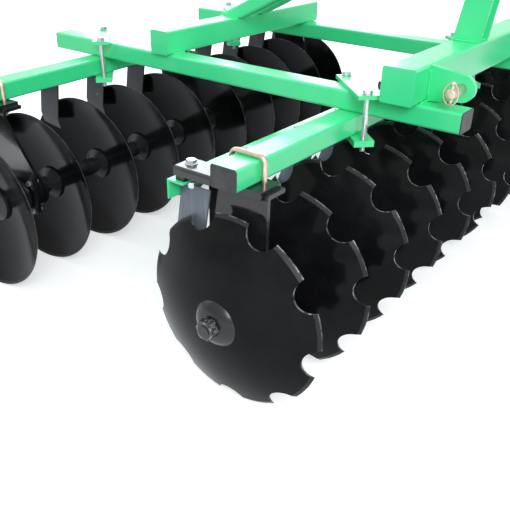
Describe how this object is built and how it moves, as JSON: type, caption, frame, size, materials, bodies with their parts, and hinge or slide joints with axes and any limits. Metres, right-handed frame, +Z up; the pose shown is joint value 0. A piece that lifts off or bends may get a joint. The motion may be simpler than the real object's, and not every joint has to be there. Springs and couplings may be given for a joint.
{
  "type": "disc harrow",
  "caption": "Tractor-mounted offset disc harrow: a notched front gang and a plain rear gang that turn freely under a clamped steel frame with a three-point headstock.",
  "frame": {"origin": "on the ground, under the middle of the whole machine's bounding box", "axes": "+X forwards, towards the tractor; +Y to the machine's left; +Z up"},
  "size_m": [1.8149, 2.369, 1.45],
  "materials": {
    "green_paint": "gloss",
    "gloss_black": "gloss",
    "cast_black": "painted",
    "scraper_steel": "dull",
    "galvanised": "galvanised",
    "yellow_zinc": "yellow zinc",
    "black_plastic": "matte"
  },
  "bodies": {
    "frame": {"front_beam_caps": "black_plastic", "front_bearing_hangers": "gloss_black", "front_bearing_housings": "cast_black", "front_clamp_bars": "green_paint", "front_clamp_plates": "green_paint", "front_gang_beam": "green_paint", "front_hanger_plates": "gloss_black", "front_scraper_bar": "green_paint", "front_scraper_brackets": "gloss_black", "front_scrapers": "scraper_steel", "headstock_tube": "green_paint", "left_hitch_cheek": "green_paint", "left_link_pin": "yellow_zinc", "left_main_beam": "green_paint", "left_mast_brace": "green_paint", "left_mast_plate": "green_paint", "main_beam_caps": "black_plastic", "rear_beam_caps": "black_plastic", "rear_bearing_hangers": "gloss_black", "rear_bearing_housings": "cast_black", "rear_clamp_bars": "green_paint", "rear_clamp_plates": "green_paint", "rear_cross_tube": "green_paint", "rear_gang_beam": "green_paint", "rear_hanger_plates": "gloss_black", "rear_scraper_bar": "green_paint", "rear_scraper_brackets": "gloss_black", "rear_scrapers": "scraper_steel", "right_hitch_cheek": "green_paint", "right_link_pin": "yellow_zinc", "right_main_beam": "green_paint", "right_mast_brace": "green_paint", "right_mast_plate": "green_paint"},
    "front_gang": {"front_axle": "galvanised", "front_axle_nuts": "galvanised", "front_bearing_spools": "cast_black", "front_discs": "gloss_black", "front_end_bell": "cast_black", "front_end_washer": "cast_black", "front_spools": "cast_black"},
    "rear_gang": {"rear_axle": "galvanised", "rear_axle_nuts": "galvanised", "rear_bearing_spools": "cast_black", "rear_discs": "gloss_black", "rear_end_bell": "cast_black", "rear_end_washer": "cast_black", "rear_spools": "cast_black"}
  },
  "joints": [
    {"name": "front_gang_spin", "type": "hinge", "parent": "frame", "child": "front_gang", "pos_m": [0.5695, -0.045, 0.28], "axis": [0, 1, 0], "continuous": true},
    {"name": "rear_gang_spin", "type": "hinge", "parent": "frame", "child": "rear_gang", "pos_m": [-0.5601, -0.045, 0.28], "axis": [-0.061, 0.9981, 0], "continuous": true}
  ]
}
